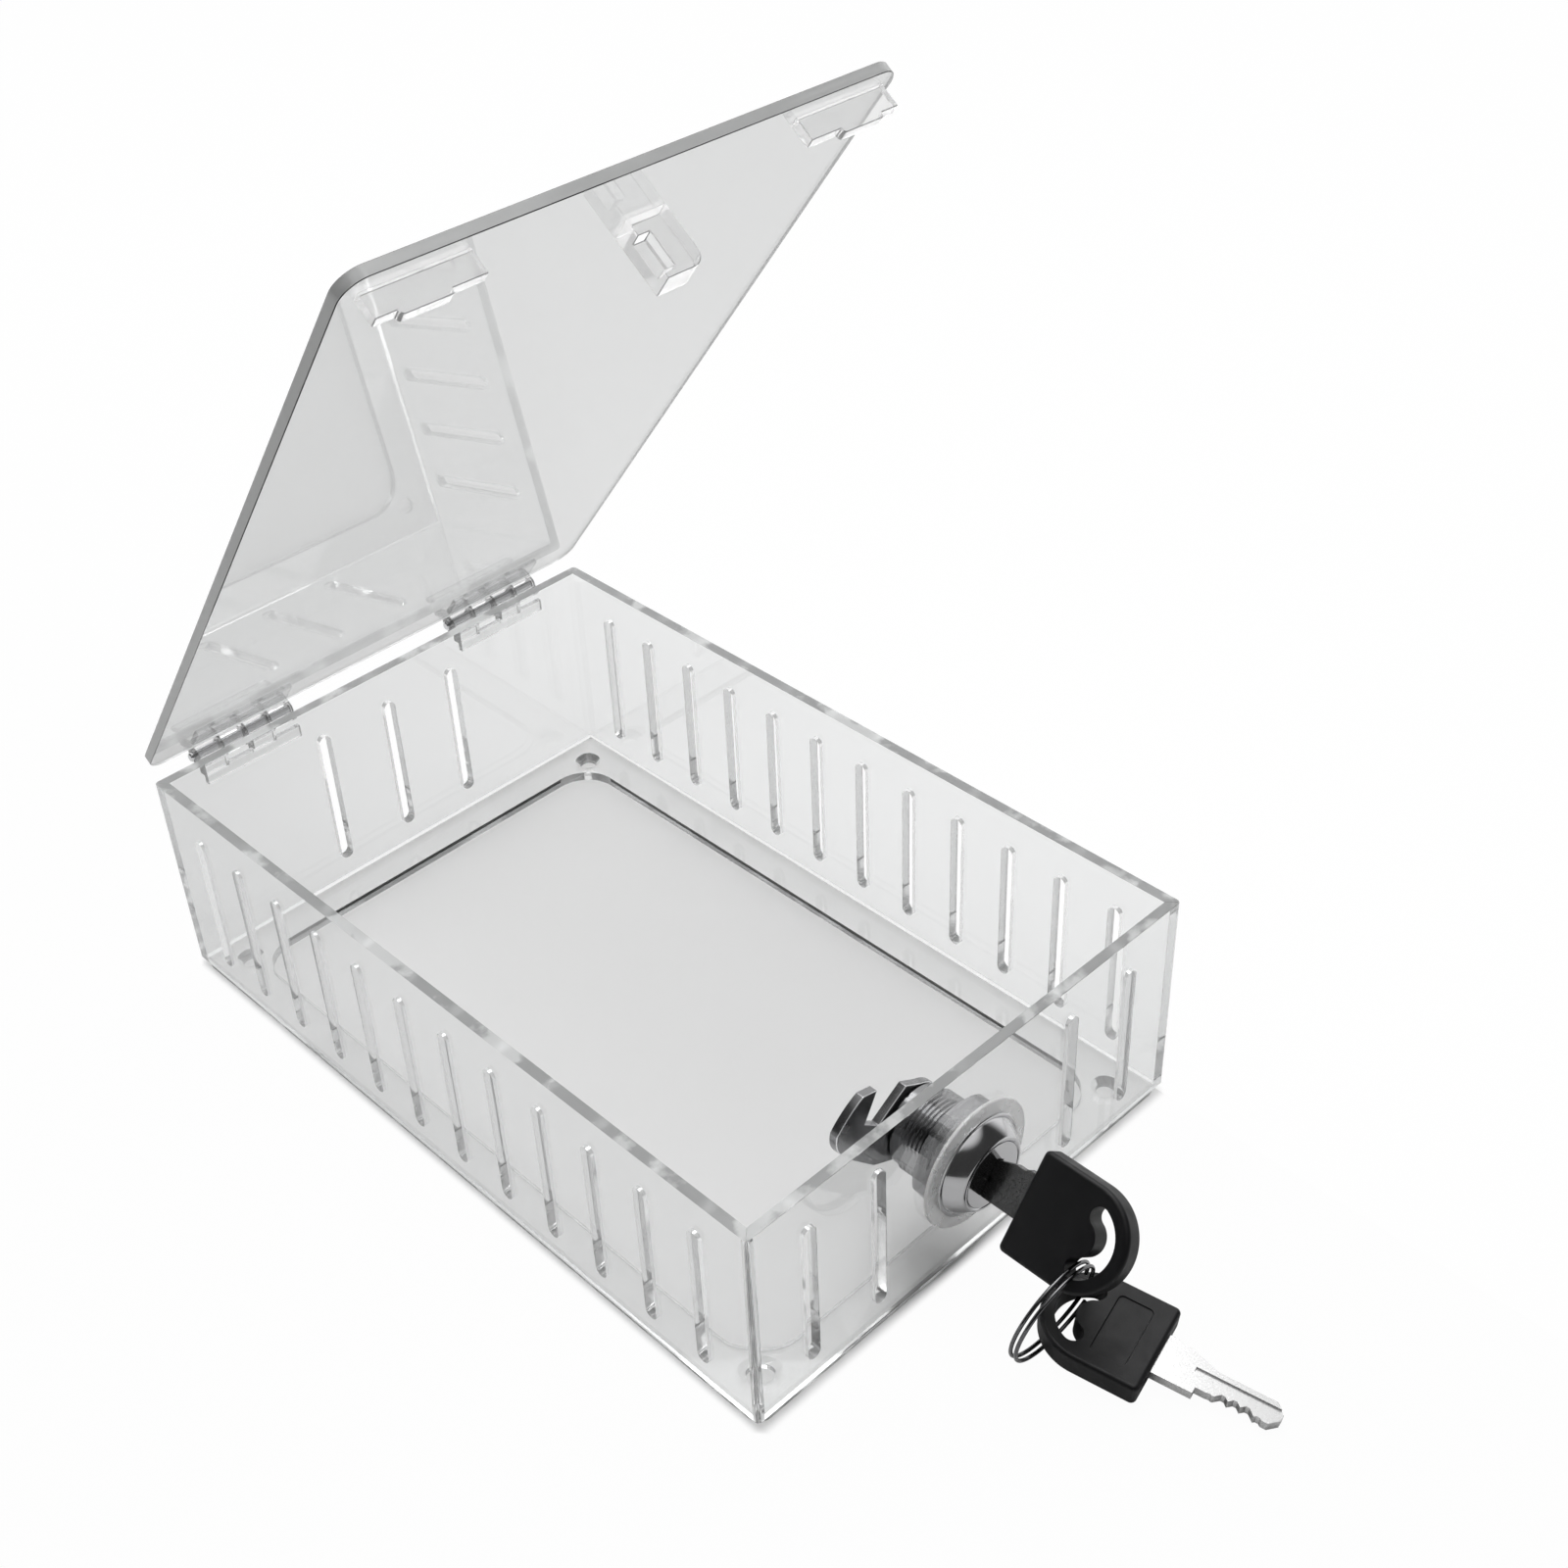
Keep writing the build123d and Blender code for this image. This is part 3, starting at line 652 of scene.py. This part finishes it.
class LOCKBOX_OT_lid_sheets(bpy.types.Operator):
    """Polish the clear lid, its keeper block and its two tabs, and dull their sawn edges"""

    bl_idname = "lockbox.lid_sheets"
    bl_label = "Lid sheets"

    def execute(self, context):
        settings = context.scene.sheet_settings
        # Painted shade: the lid's darker copy of the polished sheet
        shaded_lid = polished_material("lid_painted_shade", settings.lid_shaded_tint)
        block = clear_block_material()
        rim = sawn_and_painted_edge_material("lid_rim", settings.rim_tint, roughness=0.2, clearness=0.3)
        # Painted shade on the broken edges of the lid and its blocks
        outline = bpy.data.materials["painted_shade_outline"]
        across = Vector((0.0, -sin(LID_OPEN), -cos(LID_OPEN)))
        upwards = Vector((0.0, -cos(LID_OPEN), sin(LID_OPEN)))
        places = []
        cuts = []

        def block_finish(face):
            return outline if is_broken_edge(abs(face.normal.dot(across))) else None

        for name in ("lid_keeper", "lid_tab_left", "lid_tab_right"):
            piece = clear_copy(name, block)
            mark_faces(piece, (outline,), block_finish)
            run = [corner.co.x for corner in piece.data.vertices]
            rise = [corner.co.dot(upwards) for corner in piece.data.vertices]
            left, right, bottom, top = min(run), max(run), min(rise), max(rise)
            places.append((left, right, bottom, top))
            cuts += [(WAYS[0], left), (WAYS[0], right), (upwards, bottom), (upwards, top)]
        lid = clear_copy("lid_panel", shaded_lid, cuts)

        def lid_finish(face):
            lean = abs(face.normal.dot(across))
            if lean < SIDE_LEAN:
                return rim
            if is_broken_edge(lean):
                return outline
            run, rise = face.center.x, face.center.dot(upwards)
            on_block = any(left < run < right and bottom < rise < top for left, right, bottom, top in places)
            return block if on_block else None

        mark_faces(lid, (rim, outline, block), lid_finish)
        return {"FINISHED"}


class LOCKBOX_OT_hinges(bpy.types.Operator):
    """Polish the clear hinge leaves and finish their steel pins and the key ring"""

    bl_idname = "lockbox.hinges"
    bl_label = "Hinges"

    def execute(self, context):
        clear = bpy.data.materials["polished_plate"]
        # Painted shade on the broken edges of the hinge leaves
        outline = bpy.data.materials["painted_shade_outline"]
        # Painted shade: grey knuckle ends, so that dark lines show through the knuckles
        ends = sawn_and_painted_edge_material("knuckle_end_painted_shade", (0.4, 0.4, 0.4), roughness=0.02)

        def leaf_finish(face):
            lean = abs(face.normal.x)
            if is_broken_edge(lean):
                return outline
            return ends if lean > FACE_LEAN else None

        for side in ("left", "right"):
            for leaf in ("wall_leaf", "lid_leaf"):
                mark_faces(clear_copy(f"hinge_{side}_{leaf}", clear), (ends, outline), leaf_finish)
        pin = metal_material("polished_pin", (0.75, 0.75, 0.76), wear=(0.1, 0.18), grain=900.0, relief=0.1)
        wire = metal_material("drawn_wire", (0.16, 0.16, 0.165), wear=(0.08, 0.14), grain=900.0, relief=0.1)
        assign(["hinge_left_pin", "hinge_right_pin"], pin)
        assign(["key_ring"], wire)
        return {"FINISHED"}


class LOCKBOX_OT_lock_body(bpy.types.Operator):
    """Turn the chrome bezel and the threaded barrel with its two flats"""

    bl_idname = "lockbox.lock_body"
    bl_label = "Lock body"

    def execute(self, context):
        lock = context.scene.lock_settings
        chrome = metal_material("bright_chrome", lock.chrome, wear=(0.1, 0.17), grain=900.0, relief=0.05)
        plated = metal_material("thread_plate", (0.3, 0.3, 0.305), wear=(0.08, 0.2), grain=1500.0, relief=0.2)
        front = SHIM_FRONT
        rim_radius = 0.0113
        rim_edge = 0.00015
        rim_face = front - 0.0006
        rim = [
            (BORE, front),
            (rim_radius - rim_edge, front),
            (rim_radius, front - rim_edge),
            (rim_radius, rim_face + rim_edge),
            (rim_radius - rim_edge, rim_face),
        ]
        groove = [
            (0.01085, rim_face - 0.00005),
            (0.01075, rim_face + 0.00008),
            (0.01062, rim_face + 0.00008),
            (0.01054, rim_face - 0.0001),
        ]
        taper = [
            (0.01045, rim_face - 0.0004),
            (0.00835, PLUG_FACE + 0.00032),
            (0.0081, PLUG_FACE + 0.0001),
        ]
        mouth = [
            (0.00785, PLUG_FACE + 0.00001),
            (0.00762, PLUG_FACE + 0.00004),
            (0.0075, PLUG_FACE + 0.0002),
            (0.0074, PLUG_FACE + 0.00024),
            (0.00732, PLUG_FACE + 0.00012),
            (BORE, PLUG_FACE + 0.0002),
        ]
        bezel = turned_piece(rim + groove + taper + mouth, steps=144)
        smooth_below(bezel, 40.0)

        root = lock.thread_radius - lock.thread_depth
        lead_in = 0.0004
        sunk = 0.0001
        barrel = turned_piece(
            [
                (BORE, front),
                (root, front),
                (root, BARREL_BACK - lead_in),
                (root - lead_in, BARREL_BACK),
                (BORE, BARREL_BACK),
            ]
        )
        cut_flats(barrel, lock.flat)
        pitch = lock.thread_pitch
        start = WALL_FRONT + 0.0003
        # One turn of the thread: nearly a pitch wide, with a narrow crest and its foot sunk in the barrel
        ridge = turned_outline(
            [
                (root - sunk, start),
                (lock.thread_radius, start + 0.42 * pitch),
                (lock.thread_radius, start + 0.54 * pitch),
                (root - sunk, start + 0.96 * pitch),
            ]
        )
        bpy.ops.object.mode_set(mode="OBJECT")
        turns = int((BARREL_BACK - lead_in - start) / pitch) - 1
        wind(ridge, "Y", pitch, turns, steps=64)
        cut_flats(ridge, lock.flat)
        for part in (barrel, ridge):
            smooth_below(part, 30.0)
        threaded = join_pieces([barrel, ridge])
        finish_piece(bezel, "lock_bezel", "box", chrome)
        finish_piece(threaded, "lock_barrel", "box", plated)
        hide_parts("lock_housing")
        return {"FINISHED"}


class LOCKBOX_OT_lock_nut(bpy.types.Operator):
    """Make the hexagon nut, chamfered on both faces"""

    bl_idname = "lockbox.lock_nut"
    bl_label = "Lock nut"

    def execute(self, context):
        lock = context.scene.lock_settings
        low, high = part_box("lock_nut")
        zinc = metal_material("dark_zinc", lock.zinc, wear=(0.16, 0.3), grain=1500.0, relief=0.3)
        bore = lock.thread_radius + 0.00005
        bore_chamfer = 0.0004
        corner_chamfer = 0.0005
        overshoot = 0.001
        corner = max(high.x - low.x, high.z - low.z) / 2
        side = min(high.x - low.x, high.z - low.z) / 2
        disc = turned_piece(
            [
                (bore, low.y + bore_chamfer),
                (bore + bore_chamfer, low.y),
                (side, low.y),
                (corner, low.y + corner_chamfer),
                (corner, high.y - corner_chamfer),
                (side, high.y),
                (bore + bore_chamfer, high.y),
                (bore, high.y - bore_chamfer),
            ]
        )
        turn = 0.0 if high.z - low.z > high.x - low.x else pi / 6
        bpy.ops.object.select_all(action="DESELECT")
        bpy.ops.mesh.primitive_cylinder_add(
            vertices=6,
            radius=side / cos(pi / 6),
            depth=high.y - low.y + 2 * overshoot,
            location=(LOCK.x, (low.y + high.y) / 2, LOCK.z),
            rotation=(pi / 2, turn, 0.0),
        )
        hexagon = bpy.context.active_object
        common = disc.modifiers.new("hexagon", "BOOLEAN")
        common.operation = "INTERSECT"
        common.object = hexagon
        apply_to(disc, common)
        bpy.data.objects.remove(hexagon)
        round_edges(disc, SOFT_EDGE, 2)
        finish_piece(disc, "hexagon_nut", "box", zinc)
        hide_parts("lock_nut")
        return {"FINISHED"}


class LOCKBOX_OT_lock_plug(bpy.types.Operator):
    """Finish the plug and its wafers and wind their coil springs"""

    bl_idname = "lockbox.lock_plug"
    bl_label = "Lock plug"

    def execute(self, context):
        dressed_copy("lock_plug", "turned_plug", bpy.data.materials["bright_chrome"], FINE_EDGE)
        brass = metal_material("stamped_brass", (0.6, 0.42, 0.18), wear=(0.25, 0.35), grain=900.0, relief=0.2)
        assign(["lock_wafers"], brass)
        low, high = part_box("wafer_springs")
        along = Vector((sin(KEY_TILT), 0.0, cos(KEY_TILT)))
        across = Vector((cos(KEY_TILT), 0.0, -sin(KEY_TILT)))
        wire_radius = 0.0001
        coil_radius = 0.00038
        coil_pitch = 0.00065
        coil_turns = 6
        below_middle = 0.0025
        beside_key = 0.00325
        end_gap = 0.0005
        first = low.y + end_gap
        last = high.y - end_gap
        coils = []
        for index in range(WAFERS):
            bpy.ops.object.select_all(action="DESELECT")
            bpy.ops.mesh.primitive_circle_add(vertices=8, radius=wire_radius, rotation=(pi / 2, 0.0, 0.0))
            coil = bpy.context.active_object
            coil.location = (coil_radius, 0.0, 0.0)
            bpy.ops.object.transform_apply(location=True, rotation=True)
            wind(coil, "Z", coil_pitch, coil_turns, steps=16)
            smooth_below(coil, 60.0)
            y = first + index * (last - first) / (WAFERS - 1)
            coil.rotation_euler = (0.0, KEY_TILT, 0.0)
            coil.location = Vector((LOCK.x, y, LOCK.z)) + beside_key * across - below_middle * along
            choose_only(coil)
            bpy.ops.object.transform_apply(location=True, rotation=True)
            coils.append(coil)
        piece = join_pieces(coils)
        finish_piece(piece, "wafer_coils", "plug", bpy.data.materials["drawn_wire"])
        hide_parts("wafer_springs")
        return {"FINISHED"}


class LOCKBOX_OT_hook_cam(bpy.types.Operator):
    """Round the stamped cam, its washer and its cross-slot screw"""

    bl_idname = "lockbox.hook_cam"
    bl_label = "Hook cam"

    def execute(self, context):
        zinc = bpy.data.materials["dark_zinc"]
        # Painted highlight: bright zinc on the cam's rounded edges, for the white rim that catches the light
        edge_highlight = metal_material("painted_highlight_zinc", (0.75, 0.75, 0.76), wear=(0.15, 0.3), grain=1500.0, relief=0.3)

        def cam_finish(face):
            """Painted highlight on the rounded edges, between the flat faces and the upright sides."""
            return edge_highlight if 0.1 < abs(face.normal.y) < 0.97 else None

        mark_faces(dressed_copy("lock_cam", "hook_cam", zinc, STAMPED_EDGE), (edge_highlight,), cam_finish)
        dressed_copy("cam_washer", "cam_washer_plated", zinc, SOFT_EDGE)
        dressed_copy("cam_screw", "cam_screw_plated", zinc, SCREW_EDGE)
        return {"FINISHED"}


class LOCKBOX_OT_keys(bpy.types.Operator):
    """Finish the two nickel blades and their moulded heads"""

    bl_idname = "lockbox.keys"
    bl_label = "Keys"

    def execute(self, context):
        keys = context.scene.key_settings
        # Painted shade: a dark copy of the nickel for the blade in the lock
        shaded_nickel = speckled_nickel_material("nickel_in_painted_shade", keys.nickel_in_painted_shade)
        fresh = speckled_nickel_material("milled_nickel", keys.nickel)
        plastic = moulded_material(keys.plastic)
        for key, nickel in (("key", shaded_nickel), ("spare_key", fresh)):
            dressed_copy(key + "_blade", key + "_milled_blade", nickel, FINE_EDGE)
            dressed_copy(key + "_head", key + "_moulded_head", plastic, SOFT_EDGE)
        return {"FINISHED"}


def sloped(tree, x, y, slope):
    """y less a slope times x, for a limit that runs askew."""
    return reckon(tree, "SUBTRACT", y, reckon(tree, "MULTIPLY", x, slope))


def floor_material(tone):
    """Matt floor, white where it is clear of the box; through the sheets its shade behind the box shows."""
    material, tree, shader = plain_material("pale_floor")
    shader.inputs["Roughness"].default_value = 0.9
    shader.inputs["Specular IOR Level"].default_value = 0.1
    place = node(tree, "ShaderNodeTexCoord")
    split = node(tree, "ShaderNodeSeparateXYZ", Vector=place.outputs["Object"])
    x, y = split.outputs["X"], split.outputs["Y"]
    low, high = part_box("base_plate")

    # The floor's tone: plain under the box and before it; behind it, a painted shade that grows brighter to
    # the right
    beyond_right = reckon(tree, "GREATER_THAN", x, high.x)
    beyond_back = reckon(tree, "GREATER_THAN", y, high.y)
    behind = reckon(tree, "MAXIMUM", beyond_right, beyond_back)
    shade = spread(tree, x, low.x, high.x + SHADE_RIGHT, SHADE_DARK, SHADE_LIGHT)
    floor_tone = node(tree, "ShaderNodeMix", Factor=behind, A=tone, B=shade)
    feed(tree, shader.inputs["Base Color"], floor_tone.outputs["Result"])

    # Clear of the box, from a painted soft shadow round its foot outwards
    under_side, beside_side = FOOT_SHADOW_SIDE
    under_end, beside_end = FOOT_SHADOW_END
    left_of = spread(tree, x, low.x + under_side, low.x - beside_side, smooth=True)
    right_of = spread(tree, x, high.x - under_side, high.x + beside_side, smooth=True)
    front_of = spread(tree, y, low.y + under_end, low.y - beside_end, smooth=True)
    back_of = spread(tree, y, high.y - under_end, high.y + beside_end, smooth=True)
    before = reckon(tree, "ADD", left_of, front_of)
    clear_of_box = reckon(tree, "ADD", before, reckon(tree, "ADD", right_of, back_of))

    # Clear of the shade too, which has a slanting side at its front and at its left
    front_side = sloped(tree, x, y, SHADE_FRONT_SLOPE)
    left_side = sloped(tree, x, y, SHADE_LEFT_SLOPE)
    clear_of_shade = before
    for limit in (
        reckon(tree, "GREATER_THAN", x, high.x + SHADE_RIGHT),
        reckon(tree, "GREATER_THAN", y, high.y + SHADE_BACK),
        reckon(tree, "LESS_THAN", front_side, low.y - SHADE_FRONT_SLOPE * high.x),
        reckon(tree, "GREATER_THAN", left_side, high.y - SHADE_LEFT_SLOPE * low.x),
    ):
        clear_of_shade = reckon(tree, "MAXIMUM", clear_of_shade, limit)

    path = node(tree, "ShaderNodeLightPath")
    direct = reckon(tree, "MULTIPLY", path.outputs["Is Camera Ray"], clear_of_box)
    through = reckon(tree, "MULTIPLY", path.outputs["Is Transmission Ray"], clear_of_shade)
    share = reckon(tree, "MULTIPLY", reckon(tree, "MAXIMUM", direct, through), FLOOR_WHITE)
    white = node(tree, "ShaderNodeEmission", Color=WHITE, Strength=1.0)
    mix_shaders(tree, share, shader.outputs["BSDF"], white.outputs["Emission"], "Material Output")
    return material


def studio_world():
    """Bright backdrop behind the box and dark room in front of it, which metal and clear edges pick up."""
    world = bpy.data.worlds.new("studio")
    bpy.context.scene.world = world
    world.use_nodes = True
    tree = world.node_tree
    place = node(tree, "ShaderNodeTexCoord")
    aim = tree.nodes.new("ShaderNodeVectorMath")
    aim.operation = "DOT_PRODUCT"
    feed(tree, aim.inputs[0], place.outputs["Generated"])
    feed(tree, aim.inputs[1], BACKDROP)
    backdrop = spread(tree, aim.outputs["Value"], start=0.25, end=0.6, low=0.05, smooth=True)
    split = node(tree, "ShaderNodeSeparateXYZ", Vector=place.outputs["Generated"])
    overhead = spread(tree, split.outputs["Z"], start=0.72, end=0.9, high=0.8, smooth=True)
    path = node(tree, "ShaderNodeLightPath")
    least_through_sheets = 0.5
    through_sheets = reckon(tree, "MULTIPLY", path.outputs["Is Transmission Ray"], least_through_sheets)
    room_light = reckon(tree, "MAXIMUM", reckon(tree, "MAXIMUM", backdrop, overhead), through_sheets)
    room = tree.nodes["Background"]
    feed(tree, room.inputs["Color"], WHITE)
    feed(tree, room.inputs["Strength"], room_light)
    white = node(tree, "ShaderNodeBackground", Color=WHITE, Strength=1.0)
    seen = path.outputs["Is Camera Ray"]
    mix_shaders(tree, seen, room.outputs["Background"], white.outputs["Background"], "World Output")


def soft_lamp(name, place, aim, width, power):
    data = bpy.data.lights.new(name, "AREA")
    data.shape = "SQUARE"
    data.size = width
    data.energy = power
    lamp = bpy.data.objects.new(name, data)
    bpy.context.scene.collection.objects.link(lamp)
    lamp.location = place
    lamp.rotation_euler = (Vector(aim) - Vector(place)).to_track_quat("-Z", "Y").to_euler()


class LOCKBOX_OT_stage(bpy.types.Operator):
    """Set the floor, the studio light and the camera"""

    bl_idname = "lockbox.stage"
    bl_label = "Stage"

    def execute(self, context):
        scene = context.scene
        settings = scene.stage_settings
        bpy.ops.object.select_all(action="DESELECT")
        bpy.ops.mesh.primitive_plane_add(size=2 * settings.floor_reach, location=(0.0, 0.0, -0.00005))
        floor = context.active_object
        floor.name = "floor"
        floor.data.materials.append(floor_material(settings.floor_tone))
        studio_world()
        soft_lamp("ceiling_softbox", place=(0.2, 0.2, 1.1), aim=(0.0, 0.0, 0.0), width=0.8, power=6.0)
        data = bpy.data.cameras.new("camera")
        data.lens = settings.lens
        data.sensor_width = 36.0
        data.clip_start = 0.01
        camera = bpy.data.objects.new("camera", data)
        scene.collection.objects.link(camera)
        camera.location = CAMERA_PLACE
        camera.rotation_euler = CAMERA_TURN
        scene.camera = camera
        scene.view_settings.view_transform = "Standard"
        scene.cycles.max_bounces = SHEET_BOUNCES
        scene.cycles.transmission_bounces = SHEET_BOUNCES
        scene.cycles.glossy_bounces = SHEET_BOUNCES
        return {"FINISHED"}


class LOCKBOX_PT_panel(bpy.types.Panel):
    """Lists the pieces of the lock box"""

    bl_label = "Thermostat lock box"
    bl_idname = "LOCKBOX_PT_panel"
    bl_space_type = "VIEW_3D"
    bl_region_type = "UI"
    bl_category = "Lock box"

    def draw(self, context):
        for step in STEPS:
            self.layout.operator(step.bl_idname)
        for group in GROUPS:
            settings = getattr(context.scene, group)
            for name in settings.bl_rna.properties.keys():
                if name not in ("rna_type", "name"):
                    self.layout.prop(settings, name)


GROUPS = {
    "sheet_settings": SheetSettings,
    "lock_settings": LockSettings,
    "key_settings": KeySettings,
    "stage_settings": StageSettings,
}
STEPS = (
    LOCKBOX_OT_box_sheets,
    LOCKBOX_OT_lid_sheets,
    LOCKBOX_OT_hinges,
    LOCKBOX_OT_lock_body,
    LOCKBOX_OT_lock_nut,
    LOCKBOX_OT_lock_plug,
    LOCKBOX_OT_hook_cam,
    LOCKBOX_OT_keys,
    LOCKBOX_OT_stage,
)


def register():
    for name, group in GROUPS.items():
        bpy.utils.register_class(group)
        setattr(bpy.types.Scene, name, bpy.props.PointerProperty(type=group))
    for step in STEPS:
        bpy.utils.register_class(step)
    bpy.utils.register_class(LOCKBOX_PT_panel)


def unregister():
    bpy.utils.unregister_class(LOCKBOX_PT_panel)
    for step in reversed(STEPS):
        bpy.utils.unregister_class(step)
    for name, group in GROUPS.items():
        delattr(bpy.types.Scene, name)
        bpy.utils.unregister_class(group)


def main():
    register()
    bpy.ops.lockbox.box_sheets()
    bpy.ops.lockbox.lid_sheets()
    bpy.ops.lockbox.hinges()
    bpy.ops.lockbox.lock_body()
    bpy.ops.lockbox.lock_nut()
    bpy.ops.lockbox.lock_plug()
    bpy.ops.lockbox.hook_cam()
    bpy.ops.lockbox.keys()
    bpy.ops.lockbox.stage()


if __name__ == "__main__":
    main()
